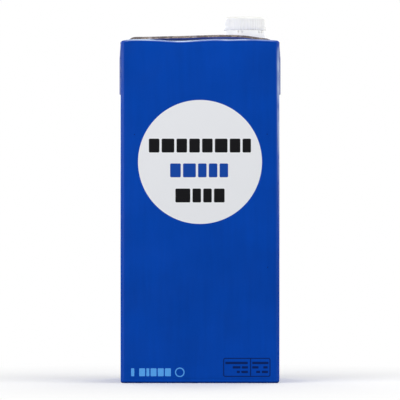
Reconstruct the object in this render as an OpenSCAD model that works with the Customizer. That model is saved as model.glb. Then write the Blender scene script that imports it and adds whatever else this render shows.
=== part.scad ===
// One-litre milk carton: a slim brick folded from printed board, shut by a screw cap.
// Sizes are in millimetres. The origin is the middle of the base, +Z is up,
// the front panel faces -Y and the cap stands at the +X end of the back half of the top.

/* [Pack] */
// Width of the pack across its front panel
pack_w = 90.5; // [80:0.5:120]
// Depth of the pack from its front panel to its back panel
pack_d = 60; // [58:0.5:80]
// Height of the pack up to its top panel
pack_h = 195; // [120:1:250]
// Radius of the four upright edges
edge_r = 2.4; // [2:0.1:6]
// Radius of the folds around the top and the base
fold_r = 1.3; // [0.6:0.1:1.8]
// How far the middle of the front and the back panel bellies out
front_belly = 1.2; // [0.1:0.1:3]
// How far the middle of a side panel bellies out
side_belly = 0.4; // [0.1:0.1:2]

/* [Top fin] */
// Width of the sealed fin, from its fold to its cut edge
fin_w = 8.5; // [5:0.5:12]
// Thickness of the fin, two boards sealed together
fin_t = 0.9; // [0.5:0.1:1.4]
// Height that the fin stands up before it folds to the front
fin_stand = 0.5; // [0.2:0.1:1.2]
// Gap under the cut edge of the fin over the left half of the top
fin_lift_left = 2.4; // [0.6:0.1:4]
// Gap under the cut edge of the fin beside the spout
fin_lift_right = 3.5; // [0.6:0.1:5]
// Length over which each end of the fin comes down to the side fold
fin_end_fall = 12; // [6:0.5:20]

/* [Side ears] */
// How far an ear stands out from its side panel
ear_t = 0.6; // [0.3:0.1:1.2]
// How far the pressed fin stands out from the ear
ear_fin_t = 0.4; // [0.2:0.1:1]

/* [Base folds] */
// Width of the rim that the pack stands on
base_rim = 4; // [2:0.5:8]
// Depth of the base panel above the rim
base_recess = 1.2; // [0.6:0.1:2.5]
// Width of the sealed fin across the base
base_fin_w = 8.5; // [5:0.5:12]
// How far the flaps stand proud of the fin across the base
base_step = 0.4; // [0.2:0.1:0.6]

/* [Back seam] */
// Distance from the right side of the pack to the near edge of the seam
seam_from_side = 9; // [6:0.5:30]
// Width of the overlap
seam_w = 8; // [5:0.5:12]
// Thickness of the board that laps over
seam_t = 0.45; // [0.3:0.05:0.8]

/* [Spout] */
// Distance from the right side of the pack to the axis of the spout
spout_from_side = 18.85; // [16:0.5:30]
// Diameter of the flange on the top panel
flange_d = 26.6; // [20:0.2:27.6]
// Thickness of the flange
flange_t = 1.2; // [0.6:0.1:2]
// Diameter of the collar under the tamper band
collar_d = 24.2; // [18:0.2:26]
// Height of the collar
collar_h = 1.8; // [0.6:0.1:4]
// Diameter of the neck inside the tamper band
neck_d = 20; // [14:0.2:21.2]

/* [Tamper band] */
// Outside diameter of the band
band_d = 24.2; // [23.6:0.1:26]
// Height of the band
band_h = 4.4; // [2.5:0.1:6]
// Gap of the break line between the band and the cap
break_gap = 0.3; // [0.2:0.05:0.6]
// Clearance between the band and the neck
band_fit = 0.2; // [0.1:0.05:0.4]
// Number of pairs of slits around the band
slit_pairs = 6; // [3:1:8]
// Angle between the two slits of a pair
slit_spread = 11; // [8:1:16]
// Angle of the first pair from the front of the band
slit_turn = -15; // [-30:1:30]
// Width of a slit
slit_w = 0.4; // [0.3:0.05:0.8]
// Height of a slit
slit_h = 1.5; // [0.8:0.1:2]
// Depth of a slit
slit_depth = 0.7; // [0.4:0.1:1.2]

/* [Cap] */
// Outside diameter of the cap over its ribs
cap_d = 24.6; // [23.8:0.1:28]
// Height of the cap
cap_h = 7.7; // [5:0.1:12]
// How much narrower the cap is at its top
cap_flare = 0.3; // [0:0.1:1]
// Radius of the top edge
cap_edge_r = 1.3; // [0.6:0.1:2.4]
// Number of ribs around the cap
cap_ribs = 48; // [24:2:72]
// Depth of the grooves between the ribs
rib_depth = 0.22; // [0.1:0.02:0.4]

/* [Hidden] */
print_blue = [0.03, 0.21, 0.60];
cap_white = [0.92, 0.93, 0.94];

// Ears and base flaps are the corners of the board tube, so they are half a depth long.
half_w = pack_w / 2;
half_d = pack_d / 2;
flap_len = half_d;
top_z = pack_h;
spout_x = half_w - spout_from_side;
spout_y = half_d / 2;
collar_z = top_z + flange_t;
band_z = collar_z + collar_h;
cap_z = band_z + band_h + break_gap;

// How finely the board is divided
arc_steps = 4;
wide_steps = 10;
deep_steps = 6;
fold_steps = 4;
rise_steps = 14;
fin_steps = 26;
ear_steps = 3;
seam_steps = 12;

// How far joined pieces of board sink into each other, and the margin of a cut
bite = 0.2;
cut_margin = 0.5;
// Radius of the rounded corners of an ear or a flap, and their distance from the upright edges
flap_r = 0.8;
flap_margin = 1;
// Width of the slope from the rim up to the base panel
base_slope = 2;
// Size of the small blocks that the back seam is drawn between
seam_cell = 0.5;

function ease(t) = let(c = min(max(t, 0), 1)) c * c * (3 - 2 * c);

// ---- Brick ----

// Quarter circle about a corner, from the angle given.
function corner(cx, cy, r, from) = [
    for (i = [0:arc_steps])
        let(a = from + 90 * i / arc_steps)
        [cx + r * cos(a), cy + r * sin(a)]
];

// Points between two ends, without the ends.
function run(a, b, steps) = [for (i = [1:steps - 1]) a + (b - a) * i / steps];

// Rounded rectangle of half sizes x and y.
function outline(x, y, r) = concat(
    corner(x - r, y - r, r, 0),
    run([x - r, y], [r - x, y], wide_steps),
    corner(r - x, y - r, r, 90),
    run([-x, y - r], [-x, r - y], deep_steps),
    corner(r - x, r - y, r, 180),
    run([r - x, -y], [x - r, -y], wide_steps),
    corner(x - r, r - y, r, 270),
    run([x, r - y], [x, y - r], deep_steps)
);

// Share of the full belly at a height, nothing at the base and the top.
function swell(z) = sin(180 * z / pack_h);

// Outward shift of the panels at a point of the outline.
function bellied(p, z) =
    let(u = p.x / half_w, v = p.y / half_d)
    [
        p.x + u * side_belly * swell(z) * (1 - v * v),
        p.y + v * front_belly * swell(z) * (1 - u * u),
        z
    ];

// Where the back panel lies at a place across and up it.
function back_y(x, z) = half_d + front_belly * swell(z) * (1 - pow(x / half_w, 2));

// One level of the brick: its height, and how far it is drawn in from the full outline.
function level(z, inset) = [
    for (p = outline(half_w - inset, half_d - inset, edge_r - inset)) bellied(p, z)
];

function brick_levels() = concat(
    [for (i = [0:fold_steps])
        let(a = 90 * i / fold_steps)
        level(fold_r * (1 - cos(a)), fold_r * (1 - sin(a)))],
    [for (i = [1:rise_steps - 1])
        level(fold_r + (pack_h - 2 * fold_r) * i / rise_steps, 0)],
    [for (i = [0:fold_steps])
        let(a = 90 * i / fold_steps)
        level(pack_h - fold_r * (1 - sin(a)), fold_r * (1 - cos(a)))]
);

// Closed skin over a row of rings that have the same number of points.
module skin(rings) {
    n = len(rings[0]);
    last = len(rings) - 1;
    walls = [
        for (k = [0:last - 1], i = [0:n - 1], half = [0:1])
            let(j = (i + 1) % n, a = k * n, b = a + n)
            half == 0 ? [a + i, b + i, b + j] : [a + i, b + j, a + j]
    ];
    ends = [[for (i = [0:n - 1]) i], [for (i = [n - 1:-1:0]) last * n + i]];
    polyhedron([for (r = rings, p = r) p], concat(walls, ends), convexity = 6);
}

// The hollow that leaves a standing rim around the base panel.
module base_hollow() {
    low = base_rim;
    high = base_rim + base_slope;
    hull() {
        translate([low - half_w, low - half_d, -cut_margin])
            cube([pack_w - 2 * low, pack_d - 2 * low, cut_margin]);
        translate([high - half_w, high - half_d, -cut_margin])
            cube([pack_w - 2 * high, pack_d - 2 * high, cut_margin + base_recess]);
    }
}

// ---- Top fin and ears ----

// Gap under the cut edge at a place across the top.
function fin_lift(x) =
    let(
        along = ease((x + half_w) / (spout_x + half_w)),
        open = fin_lift_left + (fin_lift_right - fin_lift_left) * along,
        closed = ear_t - bite,
        end = ease((half_w - abs(x)) / fin_end_fall)
    )
    closed + (open - closed) * end;

// A station of the fin: x, z, turn, gap under the cut edge, height of the fold, thickness.
function on_top(x) = [x, top_z, 0, fin_lift(x), fin_stand, fin_t];

function on_fold(side, a) =
    let(t = a / 90, x = half_w - fold_r + fold_r * sin(a))
    [
        side * x, top_z - fold_r + fold_r * cos(a), side * a,
        fin_lift(x), fin_stand + (ear_t - bite - fin_stand) * t,
        fin_t + (ear_fin_t + bite - fin_t) * t
    ];

function on_ear(side, drop) = [
    side * half_w, top_z - fold_r - drop, side * 90,
    ear_t - bite, ear_t - bite, ear_fin_t + bite
];

function fin_stations() =
    let(drop = flap_len - fold_r, reach = half_w - fold_r)
    concat(
        [for (i = [ear_steps:-1:1]) on_ear(-1, drop * i / ear_steps)],
        [for (i = [fold_steps:-1:1]) on_fold(-1, 90 * i / fold_steps)],
        [for (i = [0:fin_steps]) on_top(reach * (2 * i / fin_steps - 1))],
        [for (i = [1:fold_steps]) on_fold(1, 90 * i / fold_steps)],
        [for (i = [1:ear_steps]) on_ear(1, drop * i / ear_steps)]
    );

// Section of the fin: a short stem out of the panel, then the flap towards the front.
function fin_section(s) =
    let(lift = s[3], stand = s[4], t = s[5])
    [
        [t / 2, -bite], [t / 2, stand + t / 2], [0, stand + t],
        [-fin_w, lift + t], [-fin_w, lift], [-t / 2, stand], [-t / 2, -bite]
    ];

function fin_ring(s) = [
    for (p = fin_section(s)) [s[0] + p[1] * sin(s[2]), p[0], s[1] + p[1] * cos(s[2])]
];

module top_fin() {
    skin([for (s = fin_stations()) fin_ring(s)]);
}

// Triangle of folded board with rounded corners: its base lies along Y, its tip points to +X.
module flap(reach, thick) {
    base_y = half_d - edge_r - flap_margin;
    hull() {
        for (y = [-base_y, base_y])
            translate([flap_margin, y, 0])
                cylinder(r = flap_r, h = thick, $fn = 32);
        translate([reach - flap_r, 0, 0])
            cylinder(r = flap_r, h = thick, $fn = 32);
    }
}

module ear(side) {
    translate([side * (half_w + ear_t), 0, top_z])
        rotate([0, side > 0 ? 90 : -90, 0])
            mirror([side > 0 ? 0 : 1, 0, 0])
                translate([0, 0, -ear_t - bite])
                    flap(flap_len, ear_t + bite);
}

module base_flap(side) {
    mirror([side > 0 ? 1 : 0, 0, 0])
        translate([fold_r - half_w, 0, 0])
            flap(flap_len, base_recess + bite);
}

module base_fin() {
    translate([flap_len - half_w, -base_fin_w / 2, base_step])
        cube([pack_w - 2 * flap_len, base_fin_w, base_recess - base_step + bite]);
}

// ---- Back seam ----

module seam_block(x, z) {
    translate([x, back_y(x, z) - bite, z])
        cube([seam_cell, bite + seam_t, seam_cell]);
}

// Board lapped over the back panel, following its belly.
module back_seam() {
    near = half_w - seam_from_side - seam_cell;
    far = near - seam_w + seam_cell;
    low = fold_r;
    span = pack_h - 2 * fold_r - seam_cell;
    for (i = [0:seam_steps - 1])
        hull()
            for (x = [near, far], k = [i, i + 1])
                seam_block(x, low + span * k / seam_steps);
}

module carton() {
    color(print_blue) {
        difference() {
            skin(brick_levels());
            base_hollow();
        }
        top_fin();
        back_seam();
        base_fin();
        for (side = [-1, 1]) {
            ear(side);
            base_flap(side);
        }
    }
}

// ---- Spout, band and cap ----

module spout() {
    color(cap_white)
        translate([spout_x, spout_y, top_z]) {
            cylinder(d = flange_d, h = flange_t, $fn = 96);
            cylinder(d = collar_d, h = flange_t + collar_h, $fn = 96);
            cylinder(d = neck_d, h = cap_z - top_z, $fn = 96);
        }
}

// Angle of a slit from the front of the band.
function slit_angle(pair, which) = slit_turn + 360 * pair / slit_pairs + which * slit_spread / 2;

module at_angle(a) {
    rotate([0, 0, a - 90]) children();
}

module band_slits() {
    for (pair = [0:slit_pairs - 1], which = [-1, 1])
        at_angle(slit_angle(pair, which))
            translate([band_d / 2 - slit_depth, -slit_w / 2, band_h - slit_h])
                cube([slit_depth + cut_margin, slit_w, slit_h + cut_margin]);
}

// Small webs that hold the band to the cap until the first opening.
module band_webs() {
    inner = neck_d / 2 + band_fit;
    web_l = (band_d / 2 - inner) / 2;
    for (pair = [0:slit_pairs - 1], which = [0, 1])
        at_angle(slit_turn + 360 * (pair + which / 2) / slit_pairs)
            translate([inner + web_l / 2, -slit_w, band_h - bite])
                cube([web_l, 2 * slit_w, break_gap + bite]);
}

module tamper_band() {
    color(cap_white)
        translate([spout_x, spout_y, band_z]) {
            difference() {
                cylinder(d = band_d, h = band_h, $fn = 96);
                translate([0, 0, -cut_margin])
                    cylinder(d = neck_d + 2 * band_fit, h = band_h + 2 * cut_margin, $fn = 96);
                band_slits();
            }
            band_webs();
        }
}

// Outline of the ribs, a wave around the cap.
function rib_outline() =
    let(points = 4 * cap_ribs)
    [
        for (i = [0:points - 1])
            let(a = 360 * i / points, r = cap_d / 2 - rib_depth * (1 - cos(a * cap_ribs)) / 2)
            [r * cos(a), r * sin(a)]
    ];

// Half section of the cap without its ribs: flared wall, round top edge.
function cap_section() =
    let(top_r = (cap_d - cap_flare) / 2)
    concat(
        [[0, 0], [cap_d / 2, 0]],
        [for (i = [0:6])
            let(a = 15 * i)
            [top_r - cap_edge_r * (1 - cos(a)), cap_h - cap_edge_r * (1 - sin(a))]],
        [[0, cap_h]]
    );

module cap() {
    color(cap_white)
        translate([spout_x, spout_y, cap_z])
            intersection() {
                linear_extrude(cap_h) polygon(rib_outline());
                rotate_extrude($fn = 96) polygon(cap_section());
            }
}

carton();
spout();
tamper_band();
cap();
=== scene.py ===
"""Looks of a one-litre milk carton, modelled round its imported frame.

The carton is a slim brick folded from printed board: a body with a belly, a sealed fin across
the top with its cut edge to the front, ears glued to the sides, a lapped seam down the back,
flaps folded under the base, and a screw cap on a moulded spout. All lengths are in metres.
"""

import logging
import math
from collections.abc import Callable, Iterable, Iterator
from contextlib import contextmanager
from dataclasses import dataclass
from enum import Enum

import bmesh
import bpy
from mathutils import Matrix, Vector, noise


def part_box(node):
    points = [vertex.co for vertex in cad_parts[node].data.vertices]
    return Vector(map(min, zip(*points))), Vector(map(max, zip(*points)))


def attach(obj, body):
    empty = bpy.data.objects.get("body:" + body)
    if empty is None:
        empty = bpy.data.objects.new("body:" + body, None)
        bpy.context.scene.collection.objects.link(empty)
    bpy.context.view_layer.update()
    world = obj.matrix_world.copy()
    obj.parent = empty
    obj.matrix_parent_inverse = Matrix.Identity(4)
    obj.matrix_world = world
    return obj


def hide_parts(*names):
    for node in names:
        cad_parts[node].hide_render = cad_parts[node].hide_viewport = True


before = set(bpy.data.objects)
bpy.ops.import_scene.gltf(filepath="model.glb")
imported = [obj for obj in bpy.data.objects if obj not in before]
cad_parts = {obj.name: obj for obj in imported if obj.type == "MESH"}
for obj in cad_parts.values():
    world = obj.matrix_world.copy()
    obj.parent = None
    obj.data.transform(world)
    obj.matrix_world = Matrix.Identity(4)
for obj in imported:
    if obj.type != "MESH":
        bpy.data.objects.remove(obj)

LOG = logging.getLogger("milk_carton")
MM = 0.001
BODY = "root"
SNAP = 0.01 * MM
MERGE = 0.002 * MM
FACING = 0.9
OUTERMOST = 0.99
Triple = tuple[float, float, float]
Span = tuple[float, float]
Socket = bpy.types.NodeSocket
Value = float | Triple | Socket
Piece = bpy.types.Object
Rule = Callable[[Vector], Vector]


class Side(Enum):
    """The two sides of the carton, as the sign of X."""

    LEFT = -1
    RIGHT = 1


def ease(share: float) -> float:
    """Smooth step from 0 to 1, held outside that range."""
    held = min(max(share, 0.0), 1.0)
    return held * held * (3 - 2 * held)


def steps(low: float, high: float, pitch: float) -> list[float]:
    """Evenly spaced places strictly between two ends, about a pitch apart."""
    count = max(1, round((high - low) / pitch))
    return [low + (high - low) * i / count for i in range(1, count)]


# ---- Workbench ----


def alone(piece: Piece) -> None:
    """Makes a piece active, with nothing else selected.

    Args:
        piece: The piece.
    """
    bpy.ops.object.select_all(action="DESELECT")
    bpy.context.view_layer.objects.active = piece
    piece.select_set(True)


@contextmanager
def editing(piece: Piece) -> Iterator[None]:
    """Edit mode on one piece alone.

    Args:
        piece: The mesh to edit.
    """
    alone(piece)
    bpy.ops.object.mode_set(mode="EDIT")
    try:
        yield
    finally:
        bpy.ops.object.mode_set(mode="OBJECT")


def start(name: str, add: Callable[..., set[str]], **place: object) -> Piece:
    """Adds a primitive at its size and place.

    Args:
        name: The new piece's name.
        add: The operator that adds the primitive.
        place: The operator's size, location and scale.

    Returns:
        The new piece, with its place in its mesh.
    """
    bpy.ops.object.select_all(action="DESELECT")
    add(**place)
    piece = bpy.context.active_object
    piece.name = piece.data.name = name
    bpy.ops.object.transform_apply(location=True, rotation=True, scale=True)
    return piece


def block(name: str, low: Vector, high: Vector) -> Piece:
    """A cuboid between two corners, ready to be shaped."""
    place = {"location": (low + high) / 2, "scale": high - low}
    return start(name, bpy.ops.mesh.primitive_cube_add, size=1, **place)


def pick(piece: Piece, kind: str, test: Callable[..., bool]) -> None:
    """Selects the vertices, edges or faces that pass a test, and nothing else.

    Args:
        piece: The mesh in edit mode.
        kind: VERT, EDGE or FACE.
        test: Says whether one of them is wanted.
    """
    bpy.ops.mesh.select_mode(type=kind)
    bpy.ops.mesh.select_all(action="DESELECT")
    mesh = bmesh.from_edit_mesh(piece.data)
    for item in {"VERT": mesh.verts, "EDGE": mesh.edges, "FACE": mesh.faces}[kind]:
        if test(item):
            item.select_set(True)
    mesh.select_flush_mode()
    bmesh.update_edit_mesh(piece.data)


def divide(axis: int, places: Iterable[float]) -> None:
    """Cuts the mesh in edit mode by planes across an axis, and keeps all of it.

    Args:
        axis: 0, 1 or 2 for X, Y or Z.
        places: Where the planes stand along that axis.
    """
    normal = [0.0, 0.0, 0.0]
    normal[axis] = 1.0
    for place in places:
        bpy.ops.mesh.select_all(action="SELECT")
        point = [n * place for n in normal]
        bpy.ops.mesh.bisect(plane_co=point, plane_no=normal, threshold=SNAP)


def extrude(up: float = 0.0) -> None:
    """Extrudes the picked faces and lifts them."""
    bpy.ops.mesh.extrude_region_move(TRANSFORM_OT_translate={"value": (0, 0, up)})


def spread(centre: Vector, across: float, deep: float) -> None:
    """Scales what is picked about a point, in X and in Y."""
    bpy.ops.transform.resize(value=(across, deep, 1), center_override=tuple(centre))


def round_off(radius: float, segments: int) -> None:
    """Bevels the picked edges to a round."""
    bpy.ops.mesh.bevel(offset=radius, segments=segments, affect="EDGES", clamp_overlap=True)


def tidy_faces() -> None:
    """Merges what coincides in the mesh in edit mode, and turns all its faces outwards."""
    bpy.ops.mesh.select_all(action="SELECT")
    bpy.ops.mesh.remove_doubles(threshold=MERGE)
    bpy.ops.mesh.normals_make_consistent(inside=False)


def modify(piece: Piece, kind: str, **settings: object) -> None:
    """Gives a piece a modifier and applies it.

    Args:
        piece: The piece.
        kind: The modifier's type.
        settings: Its properties.
    """
    alone(piece)
    modifier = piece.modifiers.new("shaping", kind)
    for key, value in settings.items():
        setattr(modifier, key, value)
    bpy.ops.object.modifier_apply(modifier=modifier.name)


def smooth(piece: Piece, angle: float) -> Piece:
    """Shades a piece smooth up to an angle between its faces.

    Args:
        piece: The piece.
        angle: That angle in degrees.

    Returns:
        The same piece.
    """
    alone(piece)
    bpy.ops.object.shade_smooth_by_angle(angle=math.radians(angle))
    return piece


def formed(piece: Piece, rule: Rule, turned: bool = False, angle: float = 40) -> Piece:
    """Moves every vertex of a piece by a rule, and shades the piece smooth.

    Args:
        piece: The mesh.
        rule: Takes a point of it to its place.
        turned: Whether the rule turns it inside out, which is then put right.
        angle: Greatest angle between two faces that look smooth, in degrees.

    Returns:
        The same piece, finished.
    """
    for vertex in piece.data.vertices:
        vertex.co = rule(vertex.co.copy())
    piece.data.update()
    if turned:
        with editing(piece):
            tidy_faces()
    return smooth(piece, angle)


def joined(name: str, pieces: list[Piece]) -> Piece:
    """Makes one mesh of several.

    Args:
        name: Its name.
        pieces: The pieces to join.

    Returns:
        The first of them, with the rest in it.
    """
    alone(pieces[0])
    for piece in pieces[1:]:
        piece.select_set(True)
    bpy.ops.object.join()
    pieces[0].name = pieces[0].data.name = name
    return pieces[0]


def mark(piece: Piece, name: str, rule: Callable[[Vector], float]) -> None:
    """Writes a number at each vertex, for the piece's material to read.

    Args:
        piece: The mesh.
        name: The attribute's name.
        rule: Gives the number at a point.
    """
    numbers = piece.data.attributes.new(name, "FLOAT", "POINT")
    for vertex, number in zip(piece.data.vertices, numbers.data):
        number.value = rule(vertex.co)


def mark_cut(piece: Piece, thick: float, is_cut: Callable[[Vector, Vector], bool]) -> None:
    """Gives the cut faces of a flat board the second material, and maps its thickness.

    Args:
        piece: A flat board that lies from z 0 up to its thickness.
        thick: That thickness.
        is_cut: Says by a face's normal and middle whether it is cut.
    """
    layers = piece.data.uv_layers.new(name=CutEdge.layers)
    for _ in ("printed", "cut"):
        piece.data.materials.append(None)
    for face in piece.data.polygons:
        face.material_index = int(is_cut(face.normal, face.center))
        for loop in face.loop_indices:
            place = piece.data.vertices[piece.data.loops[loop].vertex_index].co
            layers.data[loop].uv = (place.x + place.y, place.z / thick)


def seat(piece: Piece, dress: list[bpy.types.Material], node: str = "") -> None:
    """Hangs a finished piece on the frame.

    Args:
        piece: The finished mesh.
        dress: Its materials, in the order of its material slots.
        node: The frame node that it stands for, if any.
    """
    for place, material in enumerate(dress):
        if place < len(piece.data.materials):
            piece.data.materials[place] = material
        else:
            piece.data.materials.append(material)
    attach(piece, BODY)
    if node:
        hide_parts(node)
    LOG.info("%s: %d faces", piece.name, len(piece.data.polygons))


# ---- Materials ----


class Sheet:
    """A material's node tree, with short ways to add and join its nodes."""

    def __init__(self, name: str) -> None:
        """Makes the material, its tree empty but for the shader and the output.

        Args:
            name: The material's name.
        """
        self.material = bpy.data.materials.new(name)
        self.material.use_nodes = True
        self.tree = self.material.node_tree
        self.shader = self.tree.nodes["Principled BSDF"]
        self.place = self.add("ShaderNodeTexCoord").outputs["Object"]

    def feed(self, socket: Socket, value: Value) -> None:
        """Links a socket to another, or sets it to a number or a colour.

        Args:
            socket: The socket that takes the value.
            value: Another socket, a number or a colour.
        """
        if isinstance(value, Socket):
            self.tree.links.new(value, socket)
        elif isinstance(value, tuple) and socket.type == "RGBA":
            socket.default_value = (*value, 1.0)
        else:
            socket.default_value = value

    def add(self, kind: str, *values: Value, **settings: object) -> bpy.types.Node:
        """Adds a node, sets its properties and feeds its first sockets.

        Args:
            kind: The node's type.
            values: What its first sockets take, in their order.
            settings: Its properties.

        Returns:
            The node.
        """
        node = self.tree.nodes.new(kind)
        for key, value in settings.items():
            setattr(node, key, value)
        for socket, value in zip(node.inputs, values):
            self.feed(socket, value)
        return node

    def math(self, operation: str, *values: Value) -> Socket:
        """One step of arithmetic on numbers."""
        return self.add("ShaderNodeMath", *values, operation=operation).outputs[0]

    def product(self, first: Value, *others: Value) -> Socket:
        """Multiplies numbers.

        Args:
            first: The first of them.
            others: The rest.

        Returns:
            The product's socket.
        """
        for other in others:
            first = self.math("MULTIPLY", first, other)
        return first

    def vector(self, operation: str, *values: Value) -> Socket:
        """One step of arithmetic on vectors, which is a number for a length."""
        node = self.add("ShaderNodeVectorMath", *values, operation=operation)
        return node.outputs["Value" if operation == "LENGTH" else "Vector"]

    def parts(self, vector: Socket) -> list[Socket]:
        """The X, Y and Z of a vector."""
        return list(self.add("ShaderNodeSeparateXYZ", vector).outputs)

    def marked(self, name: str) -> Socket:
        """The number that a piece's attribute holds."""
        return self.add("ShaderNodeAttribute", attribute_name=name).outputs["Fac"]

    def remap(self, value: Value, source: Span, target: Span) -> Socket:
        """A number moved from one range to another, and held inside it."""
        return self.add("ShaderNodeMapRange", value, *source, *target, clamp=True).outputs[0]

    def grain(self, size: float, detail: float, stretch: Triple = (1, 1, 1)) -> Socket:
        """Even noise about 0.5.

        Args:
            size: Width of its features in metres.
            detail: Number of finer layers.
            stretch: How much longer the features are along each axis.

        Returns:
            The noise's socket.
        """
        shrink = self.add("ShaderNodeMapping", self.place)
        shrink.inputs["Scale"].default_value = [1 / s for s in stretch]
        node = self.add("ShaderNodeTexNoise", shrink.outputs[0])
        node.inputs["Scale"].default_value = 1 / size
        node.inputs["Detail"].default_value = detail
        return node.outputs[0]

    def clouds(
        self, size: float, detail: float, source: Span, target: Span, stretch: Triple = (1, 1, 1)
    ) -> Socket:
        """Even noise, moved from one range to another and held inside it."""
        return self.remap(self.grain(size, detail, stretch), source, target)

    def blend(self, share: Value, first: Value, second: Value) -> Socket:
        """Mixes two colours.

        Args:
            share: Share of the second.
            first: The first colour.
            second: The second colour.

        Returns:
            The mixed colour's socket.
        """
        node = self.add("ShaderNodeMix", share, data_type="RGBA")
        self.feed(node.inputs[6], first)
        self.feed(node.inputs[7], second)
        return node.outputs[2]

    def shade(self, colour: Value, by: Value) -> Socket:
        """Brightens or darkens a colour.

        Args:
            colour: The colour.
            by: The factor.

        Returns:
            The new colour's socket.
        """
        node = self.add("ShaderNodeVectorMath", colour, operation="SCALE")
        self.feed(node.inputs["Scale"], by)
        return node.outputs[0]

    def relief(self, height: Value, distance: float, under: Value | None = None) -> Socket:
        """Bump of a height map.

        Args:
            height: The height map, from 0 to 1.
            distance: How high its full step stands.
            under: Another bump that lies under this one.

        Returns:
            The normal's socket.
        """
        node = self.add("ShaderNodeBump")
        for name, value in (("Strength", 1.0), ("Distance", distance), ("Height", height)):
            self.feed(node.inputs[name], value)
        if under is not None:
            self.feed(node.inputs["Normal"], under)
        return node.outputs[0]

    def set(self, **sockets: Value) -> bpy.types.Material:
        """Feeds the shader's sockets.

        Args:
            sockets: What each takes, by its name with underscores.

        Returns:
            The finished material.
        """
        for name, value in sockets.items():
            self.feed(self.shader.inputs[name.replace("_", " ")], value)
        return self.material


class Ink(Enum):
    """The inks of the print, as linear colours."""

    FIELD = (0.0012, 0.0580, 0.42)
    PAPER = (0.86, 0.875, 0.91)
    BLACK = (0.011, 0.011, 0.0125)
    BLUE = (0.010, 0.067, 0.385)
    SKY = (0.105, 0.40, 0.92)
    NAVY = (0.0028, 0.018, 0.125)


@dataclass(frozen=True)
class Bar:
    """A plain printed rectangle with round corners.

    Attributes:
        x: Middle across the panel, to the right.
        z: Middle above the base.
        width: Size across.
        height: Size up.
        corner: Radius of its corners.
        ink: Its colour.
    """

    x: float
    z: float
    width: float
    height: float
    corner: float
    ink: Ink

    def reach(self, sheet: Sheet, place: Socket) -> Socket:
        """Distance from the bar's inner core, which is its corner radius at its outline.

        Args:
            sheet: The material it is printed in.
            place: The panel's coordinates, across and up.

        Returns:
            The distance's socket.
        """
        folded = sheet.vector("ABSOLUTE", sheet.vector("SUBTRACT", place, (self.x, self.z, 0)))
        core = (self.width / 2 - self.corner, self.height / 2 - self.corner, 1.0)
        outside = sheet.vector("SUBTRACT", folded, core)
        return sheet.vector("LENGTH", sheet.vector("MAXIMUM", outside, (0, 0, 0)))

    def cover(self, sheet: Sheet, place: Socket, soft: float) -> Socket:
        """Share of ink at a place: 1 inside and 0 outside, over a soft edge."""
        edge = (self.corner - soft / 2, self.corner + soft / 2)
        return sheet.remap(self.reach(sheet, place), edge, (1, 0))


@dataclass(frozen=True)
class Loop(Bar):
    """A printed outline, of the same sizes to its outer side.

    Attributes:
        line: Width of the line.
    """

    line: float

    def cover(self, sheet: Sheet, place: Socket, soft: float) -> Socket:
        """Share of ink at a place: 1 on the line and 0 off it, over soft edges.

        Args:
            sheet: The material it is printed in.
            place: The panel's coordinates, across and up.
            soft: Width over which the ink's edge fades.

        Returns:
            The share's socket.
        """
        middle = self.corner - self.line / 2
        off = sheet.math("ABSOLUTE", sheet.math("SUBTRACT", self.reach(sheet, place), middle))
        return sheet.remap(off, ((self.line - soft) / 2, (self.line + soft) / 2), (1, 0))


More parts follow.
